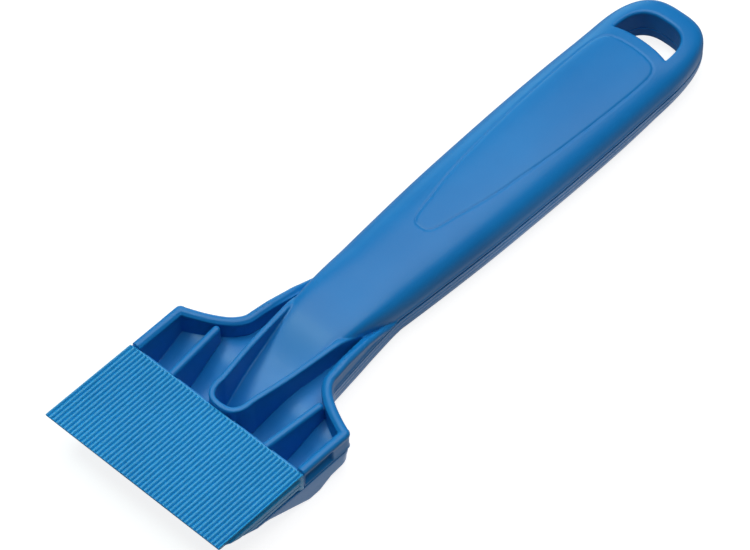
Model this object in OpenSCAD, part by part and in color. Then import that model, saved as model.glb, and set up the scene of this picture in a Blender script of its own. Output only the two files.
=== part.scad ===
// Hand ice scraper: a ribbed scraping blade held between the two moulded shells of a long flat grip.
// Y runs from the scraping edge to the end of the grip, Z is up, and Z = 0 is the surface it lies on.
// The origin is on that surface, below the middle of the scraper.

/* [Blade] */
// Width of the scraping edge
blade_w = 70; // [69:0.5:72]
// Width of the blade at its rear lip
blade_rear_w = 69.8; // [68.6:0.2:70]
// Length of the blade's ribbed top
blade_len = 35.5; // [35:0.1:35.5]
// Number of ridges across the blade's top
ridge_count = 46; // [20:1:50]
// Height of a ridge above the grooves beside it
ridge_h = 0.6; // [0.2:0.05:0.6]
// Flat margin left beside the last ridge on each side
ridge_margin = 0.8; // [0.5:0.1:1.5]
// Length of the two lugs that the shells grip behind the blade
lug_len = 1.6; // [1:0.1:1.7]

/* [Head] */
// Width of the tray across its rim
head_w = 69.8; // [68.6:0.2:70]
// Distance from the scraping edge to the rear corner of the tray
head_rear = 55.9; // [55:0.1:56]
// Height of the rim above the joint between the shells
rim_h = 7; // [6.4:0.1:7]
// Width of the rounded bead along the rim
bead_w = 3.2; // [2.8:0.1:3.4]
// Distance that the bead overhangs the tray's wall
bead_overhang = 1; // [0.6:0.1:1.2]
// Thickness of the tray's straight ribs
rib_t = 2.2; // [1.6:0.1:2.6]
// Height of the horseshoe rib above the joint between the shells
horseshoe_h = 7.8; // [7.4:0.1:8]

/* [Grip] */
// Length of the whole scraper
total_len = 245.8; // [244:0.2:248]
// Height of the joint between the shells above the surface the scraper lies on
joint_z = 8.5; // [8.5:0.1:8.8]
// Wall thickness of both shells
wall = 2; // [1.6:0.1:2.2]
// Half width of the hanging hole
hole_half = 10.4; // [9:0.1:10.6]
// Length of the hanging hole along the grip
hole_len = 12.7; // [10:0.1:12.8]
// Width of the loop of plastic behind the hanging hole
hole_loop = 8.2; // [8.2:0.1:9]
// Radius of the pins that locate one shell on the other
pin_r = 1.5; // [1:0.1:1.6]
// Clearance round the pins, the pegs and the lugs
clearance = 0.1; // [0.05:0.05:0.15]

/* [Hidden] */
$fn = 48;
plastic = "#2f78bd";
tall = 40;
wide = 100;

// Values that the grip's outline, crown and belly pass through, at evenly spaced stations
station_start = 38;
station_step = 20;
grip_half = [6.4, 9.3, 11.4, 14, 15.5, 16.6, 17.2, 17.6, 17.65, 17.3, 16.8];
crown_rise = [-0.8, 0.5, 8, 9.6, 10, 10.2, 10.2, 10, 9.6, 8.9, 8];
belly_drop = [8.4, 5.9, 7, 8.2, 8.56, 8.56, 8.56, 8.56, 8.4, 7.6, 6.4];
full_crown = max(crown_rise);
full_belly = max(belly_drop);

// Half width of the neck between the tray and the grip
neck_start = 64;
neck_step = 12;
neck_half = [18, 16.6, 15.2, 14.3, 14.9];
neck_end = 100;

// Powers of the curves that round the grip: 2 is an ellipse, more is squarer
end_power = 3;
end_side_power = 6;
crown_power = 3;
shoulder_power = 6;
shoulder_start = 76;
shoulder_end = 112;
belly_power = 5;
head_power = 12;
head_power_end = 50;
belly_power_start = 66;
section_steps = 24;
end_start = total_len - 32.8;

// Side view of the blade and of the lower shell's front, above the joint
edge_top = 6.8;
edge_t = 0.3;
ridge_fill = 0.46;
ridge_facets = 16;
ridge_stop = 0.9;
rear_top = 6.3;
bevel = [[10.2, 2.65], [15.5, 1.3]];
lip_under = [[10.2, 2.3], [16, -0.1], [19, -0.4]];
lip_step = 0.1;
lip_core = 1;
ramp_start = 21;
heel_front = 37.6;
heel_back = 42;
heel_fade = 47;
heel_fade_drop = 6.2;

// Side view of the tray's floor: deep at the front, a slope, then a shelf level with the joint
floor_front = 37.6;
floor_deep = -6.5;
floor_step = 2;
slope_start = 43.2;
slope_end = 57;
shelf_start = 60;
shelf_end = 86;
shelf_t = 1.6;
floor_gap = 0.1;

// Tray outline: a rounded corner, then a flare into the neck
corner_r = 1.9;
flare_len = 11;
flare_power = 1.85;
rim_fade = [[74, rim_h], [84, 5], [92, 2.6], [99, 0.3]];
bead_h = 1.9;
bead_edge = 0.5;
cavity_in = bead_w + 0.6;
outline_start = 24;

// Horseshoe rib round the grip's nose
horseshoe_front = 35.6;
horseshoe_round = 8.4;
horseshoe_power = 2.6;
horseshoe_t = 1.9;
horseshoe_end = 80;

// Scoop of the grip's nose inside the horseshoe rib
scoop_max = 5.4;
scoop_depth = 7.2;
scoop_end = 62;
scoop_len = 22;
nose_t = 0.9;

// Straight ribs, the blade's seat, and what locates the pieces on each other
rib_front_x = 19.1;
rib_rear_x = 20.9;
rib_drop = 0.6;
seat_t = 1.8;
seat_h = 3.4;
lug_span = [9, 30];
lug_z = [0.9, 2.4];
peg_places = [[-22, 29.5], [22, 29.5]];
peg_r = 2;
peg_h = 3.6;
boss_r = 3.2;
pin_places = [[0, 102], [0, 152], [0, 202]];
pin_h = 4.5;
hollow_end = 220;
loop_low = -4;
loop_high = 4;
hole_bow = 1.3;
hole_power = 2.8;

// Groove round the panel on the grip's crown: half widths at evenly spaced stations, then its ends
panel_start = 130;
panel_step = 10;
panel_half = [4.7, 6.7, 8.3, 9.3, 10.3, 10.95, 11.4, 11.7, 11.7];
panel_front = [[0, 123.3], [2.3, 123.6], [3.6, 125.4]];
panel_rear = [[11.5, 216], [10.3, 219.3], [7.4, 220.9], [0, 221.4]];
groove_w = 0.6;
groove_d = 0.35;

// Value at place t of a smooth curve through evenly spaced values
function curve(v, t) =
    let (n = len(v) - 1, i = max(0, min(n - 1, floor(t))), f = t - i)
    let (a = v[max(0, i - 1)], b = v[i], c = v[i + 1], d = v[min(n, i + 2)])
    b + 0.5 * f * (c - a + f * (2 * a - 5 * b + 4 * c - d + f * (3 * (b - c) + d - a)));
function at_station(v, y) = curve(v, (y - station_start) / station_step);

// Falls from 1 to 0 over the rounded end of the grip
function end_round(y, power) =
    pow(max(0, 1 - pow(max(0, (y - end_start) / (total_len - end_start)), power)), 1 / power);
function grip_x(y) = at_station(grip_half, min(y, end_start)) * end_round(y, end_power);
function crown_z(y) = at_station(crown_rise, y) * end_round(y, end_side_power);
function belly_z(y) = at_station(belly_drop, y) * end_round(y, end_side_power);
function crown_square(y) =
    crown_power + (shoulder_power - crown_power)
        * max(0, min(1, (shoulder_end - y) / (shoulder_end - shoulder_start)));

function belly_square(y) =
    head_power + (belly_power - head_power)
        * max(0, min(1, (y - head_power_end) / (belly_power_start - head_power_end)));

// Half width of the tray and the neck
function neck_x(y) = curve(neck_half, (y - neck_start) / neck_step);
function corner_x(y) =
    head_w / 2 - corner_r + sqrt(max(0, pow(corner_r, 2) - pow(y - head_rear + corner_r, 2)));
function flare_x(y) =
    neck_x(y) + (head_w / 2 - corner_r - neck_x(y))
        * pow(max(0, 1 - (y - head_rear) / flare_len), flare_power);
function head_x(y) =
    y < head_rear - corner_r ? head_w / 2 :
    y < head_rear ? corner_x(y) :
    y < neck_end ? flare_x(y) : grip_x(y);

// Depth of the lower shell below the joint: a ramp down to the heel, then a hollow before the grip
function ramp(a, b, y) = a[1] + (b[1] - a[1]) * (y - a[0]) / (b[0] - a[0]);
function under_z(y) =
    y < heel_front ? ramp([lip_under[2][0], -lip_under[2][1]], [heel_front, joint_z], y) :
    y < heel_back ? joint_z :
    y < heel_fade ? ramp([heel_back, joint_z], [heel_fade, heel_fade_drop], y) :
    y < station_start + station_step ?
        ramp([heel_fade, heel_fade_drop], [station_start + station_step, belly_drop[1]], y) :
    belly_z(y);

// Height of the tray's floor, and of the nose's surface inside the horseshoe rib
function floor_z(y) =
    floor_deep * max(0, min(1, (slope_end - y) / (slope_end - slope_start)));
function scoop(y) =
    min(scoop_max, scoop_depth * pow(max(0, (scoop_end - y) / scoop_len), 2));
function nose_z(y) = min(horseshoe_h, max(crown_z(y) - scoop(y), floor_z(y) + nose_t));

// Places where the outlines and sections are taken, closer together where they bend
corner_steps = 4;
corner_places = [
    for (i = [0:corner_steps]) head_rear - corner_r + corner_r * sin(90 * i / corner_steps)];
flare_places = [for (i = [1:8]) head_rear + flare_len * i / 8];
neck_places = [for (y = [72:7:neck_end]) y];
grip_places = [for (y = [107:12:203]) y];
end_steps = 9;
end_full = 0.9995;
end_places = [
    for (i = [0:end_steps]) end_start + (total_len - end_start) * sin(90 * i / end_steps) * end_full];
front_places = [ramp_start, 28, 34, heel_front, heel_back, heel_fade, 50];
nose_places = [72, 76, 80, 84, 90, 96];
nose_hollow_places = [70, 77, 84, 90, 96];
shelf_places = [shelf_start, 64, 68];

// One half section over the joint (side = 1) or under it (side = -1), from +X to -X, flat underneath
function half_section(y, x, z, power, side) =
    [for (i = [0:section_steps])
        let (c = cos(180 * i / section_steps), s = sin(180 * i / section_steps))
        [sign(c) * x * pow(abs(c), 2 / power), y,
         side * min(z * pow(abs(s), 2 / power), side > 0 ? tall : joint_z)]];

// Closed solid through a row of half sections, flat on the joint
module half_loft(sections, side) {
    n = len(sections[0]);
    m = len(sections);
    skin = [for (j = [0:m - 2], i = [0:n - 2])
        each [[j * n + i, j * n + i + 1, j * n + n + i],
              [j * n + i + 1, j * n + n + i + 1, j * n + n + i]]];
    flat_side = [for (j = [0:m - 2])
        each [[j * n + n - 1, j * n, j * n + 2 * n - 1],
              [j * n, j * n + n, j * n + 2 * n - 1]]];
    ends = [[for (i = [n - 1:-1:0]) i], [for (i = [0:n - 1]) (m - 1) * n + i]];
    faces = concat(skin, flat_side, ends);
    turned = [for (f = faces) [for (i = [len(f) - 1:-1:0]) f[i]]];
    polyhedron([for (s = sections) each s], side > 0 ? faces : turned, convexity = 6);
}

// Solid across the whole width whose side view is the given outline of [y, z] points
module across(outline) {
    rotate([90, 0, 90])
        translate([0, 0, -wide / 2])
            linear_extrude(wide)
                polygon(outline);
}

// Tray outline, set in by a given distance, and open towards the blade
module tray_outline(inset) {
    places = concat([outline_start], corner_places, flare_places, neck_places);
    offset(delta = -inset)
        polygon(concat(
            [for (y = places) [head_x(y), y]],
            [for (i = [len(places) - 1:-1:0]) [-head_x(places[i]), places[i]]]));
}

module horseshoe_outline(inset) {
    turn = horseshoe_front + horseshoe_round;
    right = concat(
        [for (a = [11.25:11.25:90])
            [grip_x(turn) * pow(sin(a), 2 / horseshoe_power),
             turn - horseshoe_round * pow(cos(a), 2 / horseshoe_power)]],
        [for (y = [turn + 6:6:horseshoe_end + 6]) [grip_x(y), y]]);
    offset(delta = -inset)
        polygon(concat(
            [[0, horseshoe_front]], right,
            [for (i = [len(right) - 1:-1:0]) [-right[i][0], right[i][1]]]));
}

module hole_outline(grow) {
    near = total_len - hole_loop - hole_len;
    offset(delta = grow)
        polygon(concat(
            [for (s = [1:-0.25:-1]) [hole_half * s, near + hole_bow * (1 - pow(s, 2))]],
            [for (a = [180:-7.5:0])
                [hole_half * sign(cos(a)) * pow(abs(cos(a)), 2 / hole_power),
                 near + hole_len * pow(abs(sin(a)), 2 / hole_power)]]));
}

// Shallow groove that outlines the panel on the grip's crown
module panel_groove() {
    half = concat(
        panel_front,
        [for (i = [0:len(panel_half) - 1]) [panel_half[i], panel_start + i * panel_step]],
        panel_rear);
    last = len(half) - 1;
    places = [for (y = [panel_front[0][1] - 4:9:panel_rear[3][1] + 8]) y];
    difference() {
        linear_extrude(tall)
            difference() {
                polygon(concat(half, [for (i = [last - 1:-1:1]) [-half[i][0], half[i][1]]]));
                offset(delta = -groove_w)
                    polygon(concat(half, [for (i = [last - 1:-1:1]) [-half[i][0], half[i][1]]]));
            }
        half_loft(
            [for (y = places)
                half_section(y, grip_x(y) - groove_d, crown_z(y) - groove_d, crown_square(y), 1)],
            1);
    }
}

// The tray's floor seen from the side, raised by a gap
function floor_line(gap) = [
    [floor_front + gap, floor_deep + floor_step / 2 + gap],
    [floor_front + floor_step, floor_deep + gap],
    [slope_start, floor_deep + gap],
    [slope_end, gap]];

// Room over the lower shell's floor, for everything that stands in the tray
module over_floor() {
    across(concat(
        [[blade_len, tall], [blade_len, 0], [floor_front + floor_gap, 0]],
        floor_line(floor_gap),
        [[shelf_start + floor_gap, floor_gap], [shelf_start + floor_gap, -shelf_t],
         [shelf_end, -shelf_t], [shelf_end, tall]]));
}

// Puts a piece where it lies: the joint above the resting surface, mid-length over the origin
module placed() {
    color(plastic)
        translate([0, -total_len / 2, joint_z])
            children();
}

// The blade's outline from above, with its sides set in by a given distance
module blade_outline(inset) {
    front = blade_w / 2 - inset;
    rear = blade_rear_w / 2 - inset;
    polygon([[-front, 0], [front, 0], [rear, blade_len], [-rear, blade_len]]);
}

// Rounded ridges along the blade's top, which falls a little from the edge to the lip
module ridges() {
    pitch = (blade_rear_w - 2 * ridge_margin) / ridge_count;
    radius = pitch * ridge_fill;
    slope = atan((edge_top - rear_top) / blade_len);
    translate([0, 0, edge_top])
        rotate([-90 - slope, 0, 0])
            translate([0, 0, -1])
                linear_extrude(blade_len - ridge_stop + 1)
                    intersection() {
                        for (i = [0:ridge_count - 1])
                            translate([(i + 0.5 - ridge_count / 2) * pitch, radius - ridge_h])
                                circle(radius, $fn = ridge_facets);
                        translate([-wide / 2, -2 * ridge_h])
                            square([wide, 2 * ridge_h + edge_t / 2]);
                    }
}

// Lugs at the blade's rear, and with a gap round them the slots that they fill
module lugs(gap) {
    for (side = [-1, 1])
        translate([
            side * (lug_span[0] + lug_span[1]) / 2 - (lug_span[1] - lug_span[0]) / 2 - gap,
            blade_len - 1,
            lug_z[0] - gap])
            cube([
                lug_span[1] - lug_span[0] + 2 * gap,
                lug_len + 1 + gap,
                lug_z[1] - lug_z[0] + 2 * gap]);
}

// Upright round posts at a list of places
module posts(places, radius, low, high) {
    for (p = places)
        translate([p[0], p[1], low])
            cylinder(r = radius, h = high - low);
}

// Ribbed scraping blade: a wedge whose underside is a bevel up to the edge
module blade() {
    placed()
        difference() {
            union() {
                intersection() {
                    union() {
                        across([
                            [0, edge_top - edge_t], bevel[0], bevel[1], [blade_len, 0],
                            [blade_len, rear_top], [0, edge_top]]);
                        ridges();
                    }
                    linear_extrude(tall)
                        blade_outline(0);
                }
                lugs(0);
            }
            posts(peg_places, peg_r + clearance, -1, peg_h + clearance);
        }
}

// Wall of the tray under its overhanging bead, fading down into the joint beside the grip
module tray_wall() {
    difference() {
        union() {
            linear_extrude(rim_h - bead_h)
                tray_outline(bead_overhang);
            translate([0, 0, rim_h - bead_h])
                linear_extrude(bead_h - bead_edge)
                    tray_outline(0);
            translate([0, 0, rim_h - bead_edge])
                linear_extrude(bead_edge)
                    tray_outline(bead_edge);
            linear_extrude(bead_edge)
                tray_outline(bead_edge);
        }
        translate([0, 0, -1])
            linear_extrude(tall)
                tray_outline(bead_w);
        across(concat(rim_fade, [[neck_end, 0], [neck_end + 1, tall], [rim_fade[0][0], tall]]));
        translate([-wide / 2, blade_len - wide, -tall])
            cube([wide, wide, 2 * tall]);
    }
}

// Two straight ribs that run back from the blade to the tray's rear wall
module straight_ribs() {
    rear = shelf_start + 2;
    intersection() {
        for (side = [-1, 1])
            translate([0, 0, floor_deep])
                linear_extrude(rim_h - rib_drop - floor_deep)
                    polygon([
                        [side * (rib_front_x - rib_t / 2), blade_len],
                        [side * (rib_front_x + rib_t / 2), blade_len],
                        [side * (rib_rear_x + rib_t / 2), rear],
                        [side * (rib_rear_x - rib_t / 2), rear]]);
        translate([0, 0, -tall / 2])
            linear_extrude(tall)
                tray_outline(cavity_in);
        over_floor();
    }
}

// Low wall that stops the blade and holds its lugs, and the shelf beside the grip's nose
module seat_and_shelf() {
    intersection() {
        union() {
            translate([-wide / 2, blade_len, 0])
                cube([wide, seat_t, seat_h]);
            difference() {
                translate([-wide / 2, shelf_start, -shelf_t])
                    cube([wide, shelf_end - shelf_start, shelf_t]);
                translate([0, 0, -tall / 2])
                    linear_extrude(tall)
                        horseshoe_outline(horseshoe_t / 2);
            }
        }
        translate([0, 0, -tall / 2])
            linear_extrude(tall)
                tray_outline(cavity_in);
        over_floor();
    }
    intersection() {
        translate([-wide / 2, blade_len, 0])
            cube([wide, seat_t, seat_h]);
        linear_extrude(tall)
            tray_outline(bead_overhang + 1);
    }
}

// The grip's nose, scooped down inside a horseshoe rib, and open underneath
module nose() {
    top = [for (y = [horseshoe_front:2:horseshoe_end + 2]) [y, nose_z(y)]];
    under = [for (i = [len(top) - 1:-1:0]) [top[i][0], top[i][1] - wall]];
    intersection() {
        union() {
            difference() {
                translate([0, 0, floor_deep])
                    linear_extrude(horseshoe_h - floor_deep)
                        horseshoe_outline(0);
                translate([0, 0, floor_deep - 1])
                    linear_extrude(tall)
                        horseshoe_outline(horseshoe_t);
            }
            intersection() {
                across(concat(top, under));
                translate([0, 0, -tall / 2])
                    linear_extrude(tall)
                        horseshoe_outline(horseshoe_t / 2);
            }
        }
        over_floor();
    }
}

// Channel inside the loop of plastic behind the hanging hole
module loop_channel() {
    translate([0, 0, loop_low])
        linear_extrude(loop_high - loop_low)
            difference() {
                offset(delta = -wall)
                    polygon(concat(
                        [for (y = end_places) [grip_x(y), y]],
                        [for (i = [len(end_places) - 1:-1:0]) [-grip_x(end_places[i]), end_places[i]]]));
                hole_outline(wall);
                translate([-wide / 2, 0])
                    square([wide, total_len - hole_loop - hole_len / 2]);
            }
}

// Space inside the grip over the joint (side = 1) or under it (side = -1)
module grip_hollow(places, side) {
    half_loft(
        [for (y = places)
            side > 0 ?
                half_section(y, grip_x(y) - wall, crown_z(y) - wall, crown_square(y), side) :
                half_section(y, head_x(y) - wall, belly_z(y) - wall, belly_power, side)],
        side);
}

// Upper shell: the grip's crown and nose, the tray's wall and ribs, and the upper half of the loop
module upper_shell() {
    outer = concat(nose_places, grip_places, end_places);
    inner = concat(nose_hollow_places, grip_places, [hollow_end]);
    placed()
        difference() {
            union() {
                difference() {
                    half_loft(
                        [for (y = outer) half_section(y, grip_x(y), crown_z(y), crown_square(y), 1)],
                        1);
                    grip_hollow(inner, 1);
                }
                posts(pin_places, boss_r, 0, full_crown - wall / 2);
                tray_wall();
                straight_ribs();
                seat_and_shelf();
                nose();
            }
            lugs(clearance);
            posts(pin_places, pin_r + clearance, -1, pin_h + clearance);
            translate([0, 0, -1])
                linear_extrude(tall)
                    hole_outline(0);
            loop_channel();
            panel_groove();
        }
}

// Lower shell: the underside of the head and grip, the tray's floor, and the pegs and pins
module lower_shell() {
    outer = concat(front_places, corner_places, flare_places, neck_places, grip_places, end_places);
    inner = concat(shelf_places, neck_places, grip_places, [hollow_end]);
    placed()
        difference() {
            union() {
                difference() {
                    union() {
                        half_loft(
                            [for (y = outer) half_section(y, head_x(y), under_z(y), belly_square(y), -1)],
                            -1);
                        front_lip();
                    }
                    grip_hollow(inner, -1);
                    intersection() {
                        translate([0, 0, -tall / 2])
                            linear_extrude(tall)
                                tray_outline(cavity_in);
                        across(concat(floor_line(0), [[slope_end, tall], [floor_front, tall]]));
                    }
                }
                posts(pin_places, boss_r, wall / 2 - full_belly, 0);
                posts(pin_places, pin_r, -1, pin_h);
                posts(peg_places, peg_r, -1, peg_h);
            }
            translate([0, 0, -tall / 2])
                linear_extrude(tall)
                    hole_outline(0);
            loop_channel();
        }
}

// Thin front of the lower shell, under the blade
module front_lip() {
    intersection() {
        across(concat(
            [bevel[1], bevel[0]],
            lip_under,
            [[ramp_start, lip_step - under_z(ramp_start)], [ramp_start + 1, -lip_core],
             [blade_len, -lip_core], [blade_len, 0]]));
        translate([0, 0, -tall / 2])
            linear_extrude(tall)
                blade_outline(bead_edge);
    }
}

blade();
upper_shell();
lower_shell();
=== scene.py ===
import math

import bmesh
import bpy
import numpy as np
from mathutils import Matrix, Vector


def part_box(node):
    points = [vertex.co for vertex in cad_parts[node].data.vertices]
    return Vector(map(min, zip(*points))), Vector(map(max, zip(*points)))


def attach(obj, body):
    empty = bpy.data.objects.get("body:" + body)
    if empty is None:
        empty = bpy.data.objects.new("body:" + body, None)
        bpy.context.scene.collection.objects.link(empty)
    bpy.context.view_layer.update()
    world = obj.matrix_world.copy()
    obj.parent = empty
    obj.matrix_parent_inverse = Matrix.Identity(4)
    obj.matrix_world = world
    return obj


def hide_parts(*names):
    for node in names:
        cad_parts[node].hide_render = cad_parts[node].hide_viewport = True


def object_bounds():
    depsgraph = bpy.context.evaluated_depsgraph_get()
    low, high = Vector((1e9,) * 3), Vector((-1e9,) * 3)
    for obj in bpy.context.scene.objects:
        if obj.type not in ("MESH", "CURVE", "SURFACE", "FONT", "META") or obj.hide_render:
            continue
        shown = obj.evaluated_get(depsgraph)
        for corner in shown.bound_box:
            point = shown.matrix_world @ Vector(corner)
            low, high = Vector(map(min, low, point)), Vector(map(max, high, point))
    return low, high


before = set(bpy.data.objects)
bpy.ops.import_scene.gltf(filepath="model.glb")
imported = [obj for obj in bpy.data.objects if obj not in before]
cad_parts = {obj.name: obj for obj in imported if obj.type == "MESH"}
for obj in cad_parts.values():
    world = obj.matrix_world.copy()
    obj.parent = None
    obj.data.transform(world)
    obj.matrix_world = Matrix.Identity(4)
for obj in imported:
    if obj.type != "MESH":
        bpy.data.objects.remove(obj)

import openvdb
from mathutils import Matrix, Vector

# The pieces are built in millimetres in the scraper's own terms: x across, y from the scraping edge,
# z above the joint between the shells. place() turns those into metres in the shared frame. Angles are
# in radians, and the materials, camera, floor and lights use metres.
MM = 0.001
cad_low, cad_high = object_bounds()
EDGE_Y = cad_low[1] / MM
TOTAL_LEN = (cad_high[1] - cad_low[1]) / MM
JOINT_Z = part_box("blade")[0][2] / MM
BLADE_HALF = cad_high[0] / MM

# Cell size of the grids that the shells are meshed from
STEP = 0.3

# Half width of the grip, rise of its crown and depth of its belly, at evenly spaced stations
STATION_START = 38
STATION_STEP = 20
GRIP_HALF = [6.4, 9.3, 11.4, 14, 15.5, 16.6, 17.2, 17.6, 17.65, 17.3, 16.8]
CROWN_RISE = [-0.8, 0.5, 8, 9.6, 10, 10.2, 10.2, 10, 9.6, 8.9, 8]
BELLY_DROP = [8.4, 5.9, 7, 8.2, 8.5, 8.5, 8.5, 8.5, 8.4, 7.6, 6.4]
END_LEN = 32.8
END_START = TOTAL_LEN - END_LEN
END_POWER = 3

# Outline of the tray: the head with its rounded rear corner, the flare and the neck
HEAD_HALF = 34.9
HEAD_REAR = 55.9
CORNER_R = 1.9
NECK_START = 64
NECK_STEP = 12
NECK_HALF = [18, 16.6, 15.2, 14.3, 14.9]
FLARE_LEN = 11
FLARE_POWER = 1.85
NECK_END = 100

# Length of the blade, and height of the tray's rim above the joint
BLADE_LEN = 35.5
RIM_H = 6.6
RIM_FRONT_H = 7.4


def place(x, y, z):
    """A point of the scraper in the shared frame, in metres."""
    return (x * MM, (y + EDGE_Y) * MM, (z + JOINT_Z) * MM)


# ---------------------------------------------------------------- curves and distances

def through(values, start, step):
    """A smooth curve through evenly spaced values."""
    v = np.asarray(values, float)

    def at(y):
        t = np.clip((np.asarray(y, float) - start) / step, 0, len(v) - 1)
        i = np.minimum(np.floor(t).astype(int), len(v) - 2)
        f = t - i
        a, b = v[np.maximum(i - 1, 0)], v[i]
        c, d = v[i + 1], v[np.minimum(i + 2, len(v) - 1)]
        return b + 0.5 * f * (c - a + f * (2 * a - 5 * b + 4 * c - d + f * (3 * (b - c) + d - a)))

    return at


grip_half = through(GRIP_HALF, STATION_START, STATION_STEP)
crown_rise = through(CROWN_RISE, STATION_START, STATION_STEP)
belly_drop = through(BELLY_DROP, STATION_START, STATION_STEP)
neck_half = through(NECK_HALF, NECK_START, NECK_STEP)


def ease(y, start, end):
    """0 before start, 1 after end, and smooth between them."""
    t = np.clip((y - start) / (end - start), 0, 1)
    return t * t * (3 - 2 * t)


def along(y, *points):
    """Straight lines through (y, value) points."""
    return np.interp(y, [p[0] for p in points], [p[1] for p in points])


def flare_half(y):
    """Half width of the tray behind its rear corner, running into the neck."""
    left = np.clip(1 - (y - HEAD_REAR) / FLARE_LEN, 0, 1)
    neck = neck_half(y)
    return neck + (HEAD_HALF - CORNER_R - neck) * left ** FLARE_POWER


def grip_plan(y):
    """Half width of the grip on the joint, rounded off at its end."""
    t = np.clip((y - END_START) / END_LEN, 0, 1)
    return grip_half(np.minimum(y, END_START)) * (1 - t ** END_POWER) ** (1 / END_POWER)


def quarter_turn(count):
    """Evenly spaced angles from 0 to a right angle."""
    return np.linspace(0, math.pi / 2, count)


def side_points(half, places):
    """Points down the right side of a shape whose half width is given, at the places along y."""
    return [(float(half(y)), float(y)) for y in places]


def corner_points():
    """The rounded rear corner of the head."""
    middle_x = HEAD_HALF - CORNER_R
    middle_y = HEAD_REAR - CORNER_R
    return [(middle_x + CORNER_R * math.cos(a), middle_y + CORNER_R * math.sin(a))
            for a in quarter_turn(9)]


def end_points(half_plan):
    """Points round the end of the grip, closer together where it turns."""
    turns = quarter_turn(40)[1:]
    return side_points(half_plan, END_START + END_LEN * np.sin(turns))


def plan_distance(points, x, y):
    """Signed distance in plan to the closed outline through the points, negative inside."""
    near = np.full(np.broadcast(x, y).shape, np.inf)
    inside = np.zeros(near.shape, bool)
    for (ax, ay), (bx, by) in zip(points, points[1:] + points[:1]):
        ex, ey = bx - ax, by - ay
        if ex == 0 and ey == 0:
            continue
        wx, wy = x - ax, y - ay
        t = np.clip((wx * ex + wy * ey) / (ex * ex + ey * ey), 0, 1)
        near = np.minimum(near, (wx - t * ex) ** 2 + (wy - t * ey) ** 2)
        if ey != 0:
            inside ^= ((ay > y) != (by > y)) & (x < ax + (y - ay) * ex / ey)
    return np.where(inside, -1, 1) * np.sqrt(near)


def half_outline(right):
    """Closes a right half outline well past the middle, where the mirrored half takes over."""
    far = -60
    return [(far, right[0][1])] + right + [(far, right[-1][1])]


def slab(d, middle, half):
    """Where d is within half of the middle value."""
    return np.abs(d - middle) - half


def round_and(a, b, r):
    """Where both shapes are, with the edge between them rounded to radius r."""
    return (np.hypot(np.maximum(a + r, 0), np.maximum(b + r, 0))
            + np.minimum(np.maximum(a, b) + r, 0) - r)


def round_or(a, b, r):
    """Both shapes joined, with a fillet of radius r between them."""
    return -round_and(-a, -b, r)


def soft_and(a, b, k):
    """Where both shapes are, with a soft edge that starts k from it."""
    h = np.maximum(k - np.abs(a - b), 0) / k
    return np.maximum(a, b) + h * h * k / 4


def bump(d, width):
    """1 where d is 0, falling smoothly to 0 a little past the width on each side."""
    return np.exp(-(d / width) ** 2)


# ---------------------------------------------------------------- solids from distance fields

# Limits that keep the fields from dividing by almost nothing
LEAST_SLOPE = 0.02
LEAST_RISE = 0.8


class Space:
    """A grid of points over half of the scraper: x from the middle out, y and z over given ranges."""

    def __init__(self, x_high, y_range, z_range):
        self.x1 = (np.arange(round(x_high / STEP)) + 0.5) * STEP
        self.y1 = np.arange(y_range[0], y_range[1] + STEP, STEP)
        self.z1 = np.arange(z_range[0], z_range[1] + STEP, STEP)
        self.x = self.x1[:, None, None]
        self.y = self.y1[None, :, None]
        self.z = self.z1[None, None, :]

    def plan(self, points):
        """Signed distance in plan to an outline, the same at every height."""
        d = plan_distance(points, self.x1[:, None], self.y1[None, :])
        return d[:, :, None]

    def scaled(self, f):
        """Turns a field that is zero on a surface into a distance near that surface."""
        gx, gy, gz = np.gradient(f, STEP)
        return f / np.maximum(np.sqrt(gx * gx + gy * gy + gz * gz), LEAST_SLOPE)

    def height(self, z_at):
        """Distance above a surface whose height is given in plan."""
        slopes = [np.gradient(z_at[:, :, 0], STEP, axis=i) for i in (0, 1) if z_at.shape[i] > 1]
        steep = np.sqrt(1 + sum(s * s for s in slopes))[:, :, None]
        return (self.z - z_at) / steep

    def mesh(self, field, name):
        """The surface of a field, mirrored over the middle, as a smooth piece."""
        full = np.concatenate([field[::-1], field]).astype(np.float32)
        grid = openvdb.FloatGrid(background=1.0)
        grid.copyFromArray(full, ijk=(0, 0, 0), tolerance=0)
        points, triangles, quads = grid.convertToPolygons(isovalue=0.0, adaptivity=0.0)
        points = np.asarray(points, float) * STEP
        points += [-len(self.x1) * STEP + STEP / 2, self.y1[0], self.z1[0]]
        x, y, z = place(*points.T)
        data = bpy.data.meshes.new(name)
        faces = [[int(corner) for corner in face[::-1]] for kind in (quads, triangles) for face in kind]
        data.from_pydata(np.stack([x, y, z], 1).tolist(), [], faces)
        data.shade_smooth()
        piece = bpy.data.objects.new(name, data)
        bpy.context.scene.collection.objects.link(piece)
        return piece


def grip_section(space, rise, power):
    """Grip body with superellipse sections of the given rise, rounded off at its end."""
    t = np.maximum((space.y - END_START) / END_LEN, 0)
    across = ((space.x / grip_half(np.minimum(space.y, END_START))) ** END_POWER
              + t ** END_POWER) ** (1 / END_POWER)
    upright = np.abs(space.z) / np.maximum(rise, LEAST_RISE)
    return space.scaled((across ** power + upright ** power) ** (1 / power) - 1)


# Tray floor: deep at the front, a slope, then a shelf level with the joint
FLOOR_FRONT = 37.4
FLOOR_END = 62
FLOOR_START = 38
FLOOR_STEP = 4
FLOOR_Z = [-6.7, -6.7, -5.3, -3.3, -1.4, -0.25, 0, 0, 0]
tray_floor = through(FLOOR_Z, FLOOR_START, FLOOR_STEP)

# The outline starts well ahead of the head, and leaves a gap where the neck runs into the grip
AHEAD = -20
NECK_GAP = 6


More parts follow.
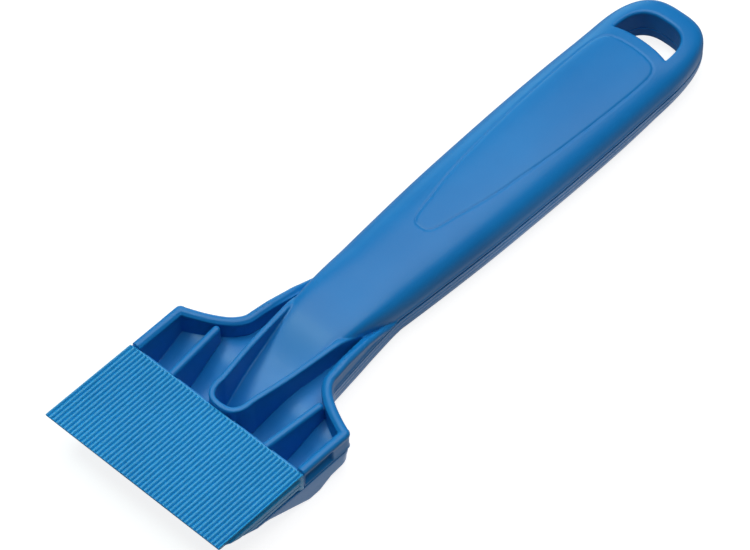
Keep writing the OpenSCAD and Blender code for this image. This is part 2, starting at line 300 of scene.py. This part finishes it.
def tray_outline():
    """The outside of both shells in plan: the head, its flare, the neck and the grip."""
    flare_end = HEAD_REAR + FLARE_LEN
    right = [(HEAD_HALF, AHEAD)] + corner_points()
    right += side_points(flare_half, np.linspace(HEAD_REAR, flare_end, 14)[1:])
    right += side_points(neck_half, np.linspace(flare_end, NECK_END, 20)[1:])
    right += side_points(grip_plan, np.linspace(NECK_END + NECK_GAP, END_START, 40))
    return half_outline(right + end_points(grip_plan))


# The rib round the nose
HORSESHOE_FRONT = 35.6
HORSESHOE_ROUND = 8.4
HORSESHOE_POWER = 2.6
HORSESHOE_T = 1.9
HORSESHOE_TOP = 7.8
HORSESHOE_END = 110


def horseshoe_outline():
    """The outside of the rib round the nose: a rounded front, then the grip's own width."""
    turn = HORSESHOE_FRONT + HORSESHOE_ROUND
    half = float(grip_half(turn))
    right = [(half * math.sin(a) ** (2 / HORSESHOE_POWER),
              turn - HORSESHOE_ROUND * math.cos(a) ** (2 / HORSESHOE_POWER))
             for a in quarter_turn(20)]
    right += side_points(grip_half, np.linspace(turn + 2, HORSESHOE_END, 30))
    return half_outline(right)


# The hanging hole
HOLE_HALF = 10.4
HOLE_FRONT = 224.9
HOLE_LEN = 12.7
HOLE_BOW = 1.3
HOLE_POWER = 2.8


def hole_outline():
    """The hanging hole: a front edge that bows out, and a round rear."""
    near = [(HOLE_HALF * s, HOLE_FRONT + HOLE_BOW * (1 - s * s)) for s in np.linspace(0, 1, 9)]
    far = [(HOLE_HALF * math.cos(a) ** (2 / HOLE_POWER),
            HOLE_FRONT + HOLE_LEN * math.sin(a) ** (2 / HOLE_POWER))
           for a in quarter_turn(24)[1:-1]]
    return half_outline(near + far + [(0, HOLE_FRONT + HOLE_LEN)])


# Right half of the panel on the crown: its rounded front, its sides and its rounded rear
PANEL_FRONT = [(0, 123.3), (1.7, 123.5), (2.8, 124.2), (3.6, 125.6), (4.1, 127.2)]
PANEL_REAR = [(11.6, 214.5), (11.1, 217.4), (10, 219.3), (8.2, 220.4), (5.5, 221), (0, 221.4)]
PANEL_HALF = [4.7, 6.7, 8.3, 9.3, 10.3, 10.95, 11.4, 11.7, 11.75]
PANEL_START = 130
PANEL_STEP = 10
PANEL_END = 210


def panel_outline():
    """The outline of the shallow panel on top of the grip."""
    panel_half = through(PANEL_HALF, PANEL_START, PANEL_STEP)
    sides = side_points(panel_half, np.linspace(PANEL_START, PANEL_END, 33))
    return half_outline(PANEL_FRONT + sides + PANEL_REAR)


# How far the grids reach, a little past each shell
SPACE_HALF = 36
SPACE_END = 247.5
UPPER_START = 33
UPPER_HEIGHTS = (-7.5, 11.2)
LOWER_START = 9
LOWER_HEIGHTS = (-9.2, 3.2)

# The crown is boxy at the nose, rounder along the grip and boxier again at the end
CROWN_START = 74
NOSE_POWER = 6
ROUNDER = 3
ROUNDER_OVER = (CROWN_START, 106)
BOXIER = 2.2
BOXIER_OVER = (218, 242)


def crown(s):
    """The top of the grip behind the nose."""
    power = NOSE_POWER - ROUNDER * ease(s.y, *ROUNDER_OVER) + BOXIER * ease(s.y, *BOXIER_OVER)
    return np.maximum(grip_section(s, crown_rise(s.y), power), CROWN_START - s.y)


# The nose is scooped down towards its front, and is no lower at its sides than a share of its rise
SCOOP_START = 62
SCOOP_LEN = 22
SCOOP_RATE = 7.2
SCOOP_DEPTH = 5.4
SIDE_SHARE = 0.6
NOSE_END = 78
NOSE_ROUND = 0.01
NOSE_FILLET = 0.5
ARM_DROP = 3.2
ARM_DROP_OVER = (75, 88)
ARM_ROUND = 0.55
ARM_END = 90


def scooped_nose(s, horseshoe):
    """The nose inside the horseshoe rib, and the rib, whose arms sink into the grip."""
    rise = crown_rise(s.y)
    share = np.clip(1 - (s.x / grip_half(s.y)) ** NOSE_POWER, 0, 1) ** (1 / NOSE_POWER)
    scoop = np.minimum(SCOOP_RATE * np.clip((SCOOP_START - s.y) / SCOOP_LEN, 0, 1) ** 2, SCOOP_DEPTH)
    top = rise * np.where(rise > 0, np.maximum(share, SIDE_SHARE), 1) - scoop
    nose = round_and(s.height(top), horseshoe + HORSESHOE_T / 2, NOSE_ROUND)
    nose = np.maximum(nose, s.y - NOSE_END)

    arm_top = HORSESHOE_TOP - ARM_DROP * ease(s.y, *ARM_DROP_OVER)
    ring = round_and(slab(horseshoe, -HORSESHOE_T / 2, HORSESHOE_T / 2), s.z - arm_top, ARM_ROUND)
    ring = np.maximum(ring, s.y - ARM_END)
    return round_or(nose, ring, NOSE_FILLET)


# Height of the rim and width of its bead along y
RIM_TOP = [(36, RIM_FRONT_H), (55, 7.1), (62, RIM_H), (74, RIM_H),
           (84, 5.1), (92, 2.7), (99, 0.3), (106, -1.5)]
RIM_END = 104
BEAD_W = [(72, 2.9), (98, 1.6)]
BEAD_HALF_H = 1.3
BEAD_ROUND = 1.25
BEAD_FILLET = 0.5
WALL_TOP = 0.9
WALL_OUT = 0.1
WALL_IN = 3.1
# At the front of the head the wall's side stands in between the bead and the joint, and behind that
# it has a foot on the joint
WAIST_END = 47.9
WAIST = [(47.3, 1.5), (WAIST_END, 0.1)]
WAIST_OVER = (0.4, 2.2)
FOOT_IN = 1.3
FOOT_HALF_W = 1.2
FOOT_Z = 0.1
FOOT_HALF_H = 0.2
FOOT_FILLET = 0.6
FRAME_HALF_W = 1.1
FRAME_END = 36.1


def tray_rim(s, tray):
    """The tray's wall under its rounded bead, falling into the joint beside the grip."""
    inward = -tray
    lifted = s.z - along(s.y, *RIM_TOP)
    half_bead = along(s.y, *BEAD_W) / 2
    wall_out = along(s.y, *WAIST) * ease(s.z, *WAIST_OVER) + WALL_OUT
    wall = np.maximum(np.maximum(wall_out - inward, inward - WALL_IN), lifted + WALL_TOP)
    bead_height = slab(lifted, -BEAD_HALF_H, BEAD_HALF_H)
    bead = round_and(slab(inward, half_bead, half_bead), bead_height, BEAD_ROUND)
    foot = np.maximum(slab(inward, FOOT_IN, FOOT_HALF_W), slab(s.z, FOOT_Z, FOOT_HALF_H))
    foot = np.maximum(foot, WAIST_END - s.y)
    rim = round_or(round_or(wall, bead, BEAD_FILLET), foot, FOOT_FILLET)
    front_frame = np.maximum(s.y - FRAME_END, lifted + WALL_TOP)
    front_frame = np.maximum(slab(inward, FOOT_IN, FRAME_HALF_W), front_frame)
    return np.maximum(np.minimum(rim, front_frame), s.y - RIM_END)


# Middle of the right rib along y
RIB_X = [(35.6, 19.1), (57, 20.9)]
RIB_REAR = 56.6
RIB_HALF_T = 1.25
RIB_DRAFT = 0.02
RIB_DROP = 0.35
RIB_ROUND = 1.1
SEAT_REAR = 37.3
SEAT_TOP = 3.4
SEAT_IN = 1.5


def ribs_and_seat(s, tray):
    """The straight ribs, and the low wall that stops the blade."""
    rib = np.hypot(s.x - along(s.y, *RIB_X), np.maximum(s.y - RIB_REAR, 0))
    rib = rib - RIB_HALF_T - RIB_DRAFT * (RIM_H - s.z)
    ribs = round_and(rib, s.z - RIM_H + RIB_DROP, RIB_ROUND)
    seat = np.maximum(np.maximum(s.y - SEAT_REAR, s.z - SEAT_TOP), tray + SEAT_IN)
    return np.minimum(ribs, seat)


# The ribs stand on the floor this far inside the outline, and the wall's lining goes a little deeper
FLOOR_IN = 3.2
LINING_IN = 1.8
LINING_DEPTH = 0.6
LINING_LEAD = 1
NOSE_ROOT = 3
NOSE_ROOT_OVER = (50, 80)


def upper_bottom(s, tray, horseshoe):
    """Where the upper shell ends: on the floor inside the tray, and on the joint elsewhere."""
    floor = tray_floor(s.y)
    in_tray = (tray < -FLOOR_IN) & (s.y > FLOOR_FRONT) & (s.y < FLOOR_END)
    beside = (tray < -LINING_IN) & (tray > -FLOOR_IN)
    lining = beside & (s.y > FLOOR_FRONT - LINING_LEAD) & (s.y < FLOOR_END)
    bottom = np.where(in_tray, floor, np.where(lining, floor - LINING_DEPTH, 0.0))
    root_start, root_end = NOSE_ROOT_OVER
    return np.where((horseshoe < 0) & (s.y > root_start) & (s.y < root_end), -NOSE_ROOT, bottom)


# The panel's groove, and the lines and lip along the joint, which are strongest on the grip. They mark
# only the skin near the outline.
PANEL_LINE = 0.24
PANEL_LINE_W = 0.34
LINE_W = 0.28
UPPER_LINE = 0.35
UPPER_LEAST = 0.4
LOWER_LINE = 0.3
LOWER_LEAST = 0.3
FAINT_LINE = 0.16
FAINT_LINES_Z = (-1.7, -3.3)
LIP_H = 0.2
LIP_Z = 0.8
LIP_W = 0.45
SKIN_T = 2
LINES_FADE_IN = (58, 75)
LINES_FADE_OUT = (218, 230)


def along_grip(y, least=0):
    """1 along the grip, and the least value at the head and at the end."""
    grip = ease(y, *LINES_FADE_IN) * (1 - ease(y, *LINES_FADE_OUT))
    return least + (1 - least) * grip


# Gap behind the blade, and the rounding of the upper shell's edges beside it and round the hole
SEAM = 0.05
SEAM_ROUND = 0.12
HOLE_ROUND = 1.2


def upper_shell():
    """The crown, the nose and its rib, and the tray's rim and ribs, above the joint."""
    s = Space(SPACE_HALF, (UPPER_START, SPACE_END), UPPER_HEIGHTS)
    tray = s.plan(tray_outline())
    horseshoe = s.plan(horseshoe_outline())
    hole = s.plan(hole_outline())
    panel = s.plan(panel_outline())

    grip = np.minimum(scooped_nose(s, horseshoe), crown(s))
    solid = np.minimum(grip, np.minimum(tray_rim(s, tray), ribs_and_seat(s, tray)))
    solid = round_and(solid, BLADE_LEN + SEAM - s.y, SEAM_ROUND)
    solid = round_and(solid, -hole, HOLE_ROUND)
    solid = np.maximum(solid, upper_bottom(s, tray, horseshoe) - s.z)

    skin = tray > -SKIN_T
    solid = solid + PANEL_LINE * bump(panel, PANEL_LINE_W)
    solid = solid - skin * LIP_H * along_grip(s.y) * bump(s.z - LIP_Z, LIP_W)
    solid = solid + skin * UPPER_LINE * along_grip(s.y, UPPER_LEAST) * bump(s.z, LINE_W)
    return s.mesh(solid, "upper_shell_body")


# The blade's underside, which the lower shell's lip meets from below
LIP_FRONT = 10.2
BLADE_UNDER = [(0, 6.6), (LIP_FRONT, 2.65), (15.5, 1.3), (BLADE_LEN, 0)]
# Gap on each side of the face between the blade and the lip under it
FACE_GAP = 0.02


def blade_under(y):
    """Height of the blade's underside, and of the lower shell under it."""
    return along(y, *BLADE_UNDER)


# Depth of the lower shell's underside: the lip and the ramp under the blade, the heel, and the neck
HEEL_END = 47
UNDER_FRONT = [(LIP_FRONT, -2.5), (16, 0.1), (19, 0.4), (21, 1.0),
               (37.6, JOINT_Z), (42, JOINT_Z), (HEEL_END, 6.3)]
BELLY_START = 58
UNDER_NECK = [(HEEL_END, 6.3), (53, 5.8), (BELLY_START, 5.9)]
# How far the edge round the underside is softened along y
UNDER_EDGE = [(16, 0.3), (30, 0.7), (62, 1.2), (80, 2.6), (100, 5.2)]
# The lower shell's side stands in a hair at the head and neck
SIDE_GAP = 0.05
SIDE_GAP_END = 98
CORNER_CUT = 1.1
CORNER_LEAN = 0.7
CORNER_LEAN_OVER = (1, 4)
CORNER_SOFT = 1.5
WELL_INSIDE = -9
LOWER_HOLE_ROUND = 3.6
HOLE_TAPER = 0.1
HOLLOW_IN = 2.8
FLOOR_FILLET = 0.4
FRONT_FILLET = 0.9


def underside(y):
    """Depth of the underside below the joint."""
    neck = np.where(y < BELLY_START, along(y, *UNDER_NECK), belly_drop(y))
    return np.minimum(np.where(y < HEEL_END, along(y, *UNDER_FRONT), neck), JOINT_Z)


def lower_sides(s, tray):
    """The lower shell's sides, with the head's rear corners cut off, more so further down."""
    sides = tray + SIDE_GAP * (s.y < SIDE_GAP_END)
    cut = (s.x + s.y - HEAD_HALF - HEAD_REAR) / math.sqrt(2) + CORNER_CUT
    cut = cut + CORNER_LEAN * ease(-s.z, *CORNER_LEAN_OVER)
    return soft_and(sides, np.where(s.y < HEAD_REAR + FLARE_LEN, cut, WELL_INSIDE), CORNER_SOFT)


def tray_hollow(s, tray):
    """The space over the tray's floor, inside its wall."""
    floor = tray_floor(s.y) + 0 * s.x
    hollow = round_and(tray + HOLLOW_IN, -s.height(floor), FLOOR_FILLET)
    hollow = round_and(hollow, FLOOR_FRONT - s.y, FRONT_FILLET)
    return np.maximum(hollow, s.y - FLOOR_END)


def lower_shell():
    """The belly of the grip, the head with the tray's floor, and the lip under the blade."""
    s = Space(SPACE_HALF, (LOWER_START, SPACE_END), LOWER_HEIGHTS)
    tray = s.plan(tray_outline())
    hole = s.plan(hole_outline())

    belly = -s.height(-underside(s.y) * (1 - 0 * s.x))
    solid = soft_and(lower_sides(s, tray), belly, along(s.y, *UNDER_EDGE))
    solid = round_and(solid, -HOLE_TAPER * s.z - hole, LOWER_HOLE_ROUND)
    solid = np.maximum(solid, s.z - (blade_under(s.y) - FACE_GAP))
    solid = np.maximum(solid, LIP_FRONT - s.y)
    solid = np.maximum(solid, -tray_hollow(s, tray))

    skin = tray > -SKIN_T
    joint_line = skin * LOWER_LINE * along_grip(s.y, LOWER_LEAST) * bump(s.z, LINE_W)
    solid = solid + joint_line * (s.y > BLADE_LEN)
    faint = sum(bump(s.z - line_z, LINE_W) for line_z in FAINT_LINES_Z)
    solid = solid + skin * FAINT_LINE * along_grip(s.y) * faint
    return s.mesh(solid, "lower_shell_body")


# ---------------------------------------------------------------- the blade

# Ridges, and the plain margin at each side of them
RIDGES = 46
RIDGE_H = 0.75
RIDGE_BROAD = 2.2
RIDGE_ROUND = 0.8
RIDGE_CUTS = 12
MARGIN_CUTS = 5
SIDE_MARGIN = 0.9
# Height of the ridges at the edge and the rear, and how the blade narrows and is rounded towards its rear
EDGE_TOP = 7.4
REAR_TOP = 6.9
REAR_TAPER = 0.997
BLADE_CORNER = 0.5
# The ridges end in round tips just ahead of the blade's rear
TIP_GAP = 0.3
TIP_BACK = 0.6
TIP_LEN = 0.4
# How far the blade's side steps in at each depth under its top edge: a cove, a ledge, a groove and a foot
SIDE_STEPS = [(0, 0.12), (0.15, 0), (0.35, 0), (0.45, 0.7), (1.6, 0.8), (2.1, 0.5), (2.5, 0), (4, 0),
              (4.1, 0.4), (4.5, 0.4), (4.6, 0.1), (5.7, 0.1), (5.8, 0.55), (7.5, 0.55)]
STEPS_FADE_IN = (0.5, 5)
STEPS_FADE_OUT = (33.2, 34)
# Places of the slices near the scraping edge, and how far the last ones are ahead of the rear
EDGE_SLICES = [0, 0.3, 0.6]
REAR_SLICES = [2, 1.7, 1.5, 1.3, 1.1, 0.9, 0.75, 0.6, 0.45, 0.3, 0.15, 0.05, 0]
MIDDLE_START = 1
MIDDLE_GAP = 2.4
MIDDLE_SLICES = 42
# Corners closer together than this are joined, and edges sharper than this angle stay sharp
WELD = 0.002
SHARP_ANGLE = math.radians(40)


def ridge_height(u):
    """Height over one ridge, for u from 0 to 1 across it: a broad round top and narrow grooves."""
    return RIDGE_H * (1 - np.abs(2 * u - 1) ** RIDGE_BROAD) ** RIDGE_ROUND


def blade_section(y):
    """One slice across the blade: its ridged top, down its right side and up its left side."""
    half = BLADE_HALF * along(y, (0, 1), (BLADE_LEN, REAR_TAPER))
    into = np.clip((y - BLADE_LEN + BLADE_CORNER) / BLADE_CORNER, 0, 1)
    half -= BLADE_CORNER * (1 - math.sqrt(1 - into ** 2))
    ridged = np.linspace(0, RIDGES, RIDGES * RIDGE_CUTS + 1)
    # The margin beside the last ridge rises like the first half of a ridge
    margin = np.linspace(0, 0.5, MARGIN_CUTS)[1:]
    inner = half - SIDE_MARGIN
    x = (ridged / RIDGES * 2 - 1) * inner
    ridge = ridge_height(ridged % 1)
    edge_x = inner + (half - SIDE_STEPS[0][1] - inner) * margin * 2
    edge_ridge = ridge_height(margin)
    x = np.concatenate([-edge_x[::-1], x, edge_x])
    ridge = np.concatenate([edge_ridge[::-1], ridge, edge_ridge])
    tip = BLADE_LEN - TIP_GAP - TIP_BACK * (1 - ridge / RIDGE_H)
    ridge = ridge * (1 - ease(y, tip - TIP_LEN, tip))
    base = float(along(y, (0, EDGE_TOP), (BLADE_LEN, REAR_TOP))) - RIDGE_H
    top = base + ridge
    under = float(blade_under(y)) + FACE_GAP

    depths, steps = np.array(SIDE_STEPS).T
    down = np.minimum(depths[1:], top[-1] - under)
    stepped = ease(y, *STEPS_FADE_IN) * (1 - ease(y, *STEPS_FADE_OUT))
    side_x = half - stepped * np.interp(down, depths, steps)
    side_z = top[-1] - down
    xs = np.concatenate([x, side_x, -side_x[::-1]])
    zs = np.concatenate([top, side_z, side_z[::-1]])
    return np.stack(place(xs, np.full(len(xs), y), zs), 1)


def blade():
    """The blade: its slices joined one to the next, and closed at both ends."""
    middle = np.linspace(MIDDLE_START, BLADE_LEN - MIDDLE_GAP, MIDDLE_SLICES)
    ys = np.concatenate([EDGE_SLICES, middle, BLADE_LEN - np.array(REAR_SLICES)])
    slices = [blade_section(y) for y in ys]
    n = len(slices[0])
    faces = []
    for j in range(len(ys) - 1):
        for i in range(n):
            k = (i + 1) % n
            faces.append((j * n + i, j * n + k, (j + 1) * n + k, (j + 1) * n + i))
    faces.append(tuple(range(n))[::-1])
    faces.append(tuple(range((len(ys) - 1) * n, len(ys) * n)))
    data = bpy.data.meshes.new("blade_body")
    data.from_pydata(np.concatenate(slices).tolist(), [], faces)
    form = bmesh.new()
    form.from_mesh(data)
    bmesh.ops.remove_doubles(form, verts=form.verts, dist=WELD * MM)
    bmesh.ops.recalc_face_normals(form, faces=form.faces)
    form.to_mesh(data)
    form.free()
    data.shade_smooth()
    data.set_sharp_from_angle(angle=SHARP_ANGLE)
    piece = bpy.data.objects.new("blade_body", data)
    bpy.context.scene.collection.objects.link(piece)
    return piece


# ---------------------------------------------------------------- materials

# Each plastic's colour drifts between two close shades
BLADE_COLOURS = [(0.02, 0.31, 0.66), (0.025, 0.36, 0.74)]
SHELL_COLOURS = [(0.006, 0.19, 0.54), (0.008, 0.22, 0.6)]
BLADE_ROUGHNESS = 0.26
SHELL_ROUGHNESS = 0.34
GLOSS = 0.36
REFRACTION = 1.5
CLOUD_SCALE = 35
CLOUD_DETAIL = 3
CLOUD_RANGE = (0.3, 0.75)
GRAIN_SCALE = 1400
GRAIN_DETAIL = 2
SMOOTHER = 0.05
ROUGHER = 0.08
BUMP_STRENGTH = 0.06
BUMP_HEIGHT = 0.0002


def add_node(tree, kind, **values):
    """A new node with its inputs set. An underscore in a name stands for a space."""
    node = tree.nodes.new("ShaderNode" + kind)
    for name, value in values.items():
        node.inputs[name.replace("_", " ")].default_value = value
    return node


def new_surface(name):
    """A new material, its node tree and its shader."""
    mat = bpy.data.materials.new(name)
    mat.use_nodes = True
    return mat, mat.node_tree, mat.node_tree.nodes["Principled BSDF"]


def plastic(name, colours, roughness):
    """Moulded plastic: slight colour variation, and fine grain in its gloss and its surface."""
    mat, tree, shader = new_surface(name)
    link = tree.links.new
    shader.inputs["IOR"].default_value = REFRACTION
    shader.inputs["Specular IOR Level"].default_value = GLOSS
    coords = add_node(tree, "TexCoord")

    cloud = add_node(tree, "TexNoise", Scale=CLOUD_SCALE, Detail=CLOUD_DETAIL)
    link(coords.outputs["Object"], cloud.inputs["Vector"])
    ramp = add_node(tree, "ValToRGB")
    for stop, position, colour in zip(ramp.color_ramp.elements, CLOUD_RANGE, colours):
        stop.position = position
        stop.color = (*colour, 1)
    link(cloud.outputs["Fac"], ramp.inputs["Fac"])
    link(ramp.outputs["Color"], shader.inputs["Base Color"])

    grain = add_node(tree, "TexNoise", Scale=GRAIN_SCALE, Detail=GRAIN_DETAIL)
    link(coords.outputs["Object"], grain.inputs["Vector"])
    rough = add_node(tree, "MapRange", To_Min=roughness - SMOOTHER, To_Max=roughness + ROUGHER)
    link(grain.outputs["Fac"], rough.inputs["Value"])
    link(rough.outputs["Result"], shader.inputs["Roughness"])

    bumps = add_node(tree, "Bump", Strength=BUMP_STRENGTH, Distance=BUMP_HEIGHT)
    link(grain.outputs["Fac"], bumps.inputs["Height"])
    link(bumps.outputs["Normal"], shader.inputs["Normal"])
    return mat


# ---------------------------------------------------------------- camera, floor and light

AZIMUTH = math.radians(42.447)
ELEVATION = math.radians(51.979)
DISTANCE = 1.2664
LENS = 201.9
SENSOR = 36
NEAR_CLIP = 0.05
AIM_Y = 117
# How far the scraper sits right of and above the middle of the picture, as slopes
OFF_RIGHT = 0.00736
OFF_UP = 0.003684


def camera():
    """The camera, high over the front right of the scraper."""
    level = math.cos(ELEVATION)
    back = Vector((math.sin(AZIMUTH) * level, -math.cos(AZIMUTH) * level, math.sin(ELEVATION)))
    right = Vector((math.cos(AZIMUTH), math.sin(AZIMUTH), 0))
    up = back.cross(right)
    eye = Vector(place(0, AIM_Y, 0)) + DISTANCE * back
    back = (back + OFF_RIGHT * right + OFF_UP * up).normalized()
    right = (right - right.dot(back) * back).normalized()
    up = back.cross(right)
    data = bpy.data.cameras.new("camera")
    data.lens = LENS
    data.sensor_width = SENSOR
    data.clip_start = NEAR_CLIP
    cam = bpy.data.objects.new("camera", data)
    cam.matrix_world = Matrix.Translation(eye) @ Matrix((right, up, back)).transposed().to_4x4()
    bpy.context.scene.collection.objects.link(cam)
    bpy.context.scene.camera = cam


def area_light(name, direction, distance, size, power, colour=(1, 1, 1)):
    """A round soft light in a direction from the scraper, facing it."""
    data = bpy.data.lights.new(name, "AREA")
    data.shape = "DISK"
    data.size = size
    data.energy = power
    data.color = colour
    lamp = bpy.data.objects.new(name, data)
    towards = Vector(direction).normalized()
    facing = towards.to_track_quat("Z", "Y").to_matrix().to_4x4()
    lamp.matrix_world = Matrix.Translation(towards * distance) @ facing
    bpy.context.scene.collection.objects.link(lamp)


# The floor lies a hair below the scraper, so that the two faces never share a place
FLOOR_HALF = 3
FLOOR_GAP = 0.05 * MM
FLOOR_GREY = 0.3
FLOOR_ROUGHNESS = 0.9
PAPER_GLOW = 0.86
# The floor's glow as the gloss of the sides shows it, at short and long distances from them: a painted
# reflection, bright close to the sides and dim further off
GLOSS_GLOW = 1.1
GLOSS_GLOW_FAR = 0.1 * GLOSS_GLOW
GLOW_NEAR = 0.008
GLOW_FAR = 0.021
# Half width of the painted shadow under the scraper, where the floor's glow in gloss is cut out, and
# where that glow is full again
PAINTED_SHADOW_HALF = 0.013
PAINTED_SHADOW_END = 0.019
WORLD_COLOUR = (0.9, 0.95, 1, 1)
WORLD_GLOW = 0.05


def paper():
    """White paper: it glows white to the camera; in gloss it glows as a painted reflection, bright close
    to the scraper and dim further off, with a painted shadow cut out under the scraper; and it lights
    nothing by its glow.
    """
    mat, tree, shader = new_surface("floor")
    link = tree.links.new
    shader.inputs["Base Color"].default_value = (FLOOR_GREY, FLOOR_GREY, FLOOR_GREY, 1)
    shader.inputs["Roughness"].default_value = FLOOR_ROUGHNESS
    shader.inputs["Emission Color"].default_value = (1, 1, 1, 1)
    rays = add_node(tree, "LightPath")
    # Painted reflection: seen in gloss, the floor glows brightly close to the scraper and dimly further
    # off, by the length of the ray
    near = add_node(tree, "MapRange", From_Min=GLOW_NEAR, From_Max=GLOW_FAR,
                    To_Min=GLOSS_GLOW, To_Max=GLOSS_GLOW_FAR)
    link(rays.outputs["Ray Length"], near.inputs["Value"])

    # The floor under the scraper is in its shadow, which is painted: in gloss the floor's glow is cut out
    # in a strip under the scraper, by its place across the floor
    coords = add_node(tree, "TexCoord")
    split = add_node(tree, "SeparateXYZ")
    link(coords.outputs["Object"], split.inputs["Vector"])
    aside = add_node(tree, "Math")
    aside.operation = "ABSOLUTE"
    link(split.outputs["X"], aside.inputs[0])
    outside_painted_shadow = add_node(tree, "MapRange", From_Min=PAINTED_SHADOW_HALF, From_Max=PAINTED_SHADOW_END)
    link(aside.outputs["Value"], outside_painted_shadow.inputs["Value"])
    painted_reflection = add_node(tree, "Math")
    painted_reflection.operation = "MULTIPLY"
    link(near.outputs["Result"], painted_reflection.inputs[0])
    link(outside_painted_shadow.outputs["Result"], painted_reflection.inputs[1])

    # Camera rays see the even glow of the paper, and gloss rays see the painted reflection with its
    # painted shadow
    glossy = add_node(tree, "Mix", A=PAPER_GLOW)
    link(rays.outputs["Is Glossy Ray"], glossy.inputs["Factor"])
    link(painted_reflection.outputs["Value"], glossy.inputs["B"])
    diffuse = add_node(tree, "Mix", B=0)
    link(rays.outputs["Is Diffuse Ray"], diffuse.inputs["Factor"])
    link(glossy.outputs["Result"], diffuse.inputs["A"])
    link(diffuse.outputs["Result"], shader.inputs["Emission Strength"])
    return mat


def studio():
    """The floor, a faint even light all round, and three soft lights."""
    half = FLOOR_HALF
    under = -FLOOR_GAP
    corners = [(-half, -half, under), (half, -half, under), (half, half, under), (-half, half, under)]
    data = bpy.data.meshes.new("floor")
    data.from_pydata(corners, [], [(0, 1, 2, 3)])
    data.materials.append(paper())
    floor = bpy.data.objects.new("floor", data)
    bpy.context.scene.collection.objects.link(floor)

    world = bpy.data.worlds.new("world")
    bpy.context.scene.world = world
    world.use_nodes = True
    sky = world.node_tree.nodes["Background"]
    sky.inputs["Color"].default_value = WORLD_COLOUR
    sky.inputs["Strength"].default_value = WORLD_GLOW
    area_light("overhead", direction=(-0.09, 0.16, 1), distance=1.25, size=1.6, power=14.8)
    area_light("core", direction=(-0.415, -0.22, 0.88), distance=1.2, size=0.32, power=2.2,
               colour=(0.66, 1, 0.94))
    area_light("behind", direction=(-0.72, 0.62, 0.22), distance=1.5, size=0.75, power=3.4,
               colour=(0.5, 0.93, 1))
    bpy.context.scene.view_settings.view_transform = "Standard"


blade_mat = plastic("blade_surface", BLADE_COLOURS, BLADE_ROUGHNESS)
shell_mat = plastic("shell_surface", SHELL_COLOURS, SHELL_ROUGHNESS)
for make, node, mat, slot in (
        (blade, "blade", blade_mat, "blade_plastic"),
        (upper_shell, "upper_shell", shell_mat, "shell_plastic"),
        (lower_shell, "lower_shell", shell_mat, "shell_plastic")):
    piece = make()
    piece.data.materials.append(mat)
    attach(piece, "root")
    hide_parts(node)

camera()
studio()
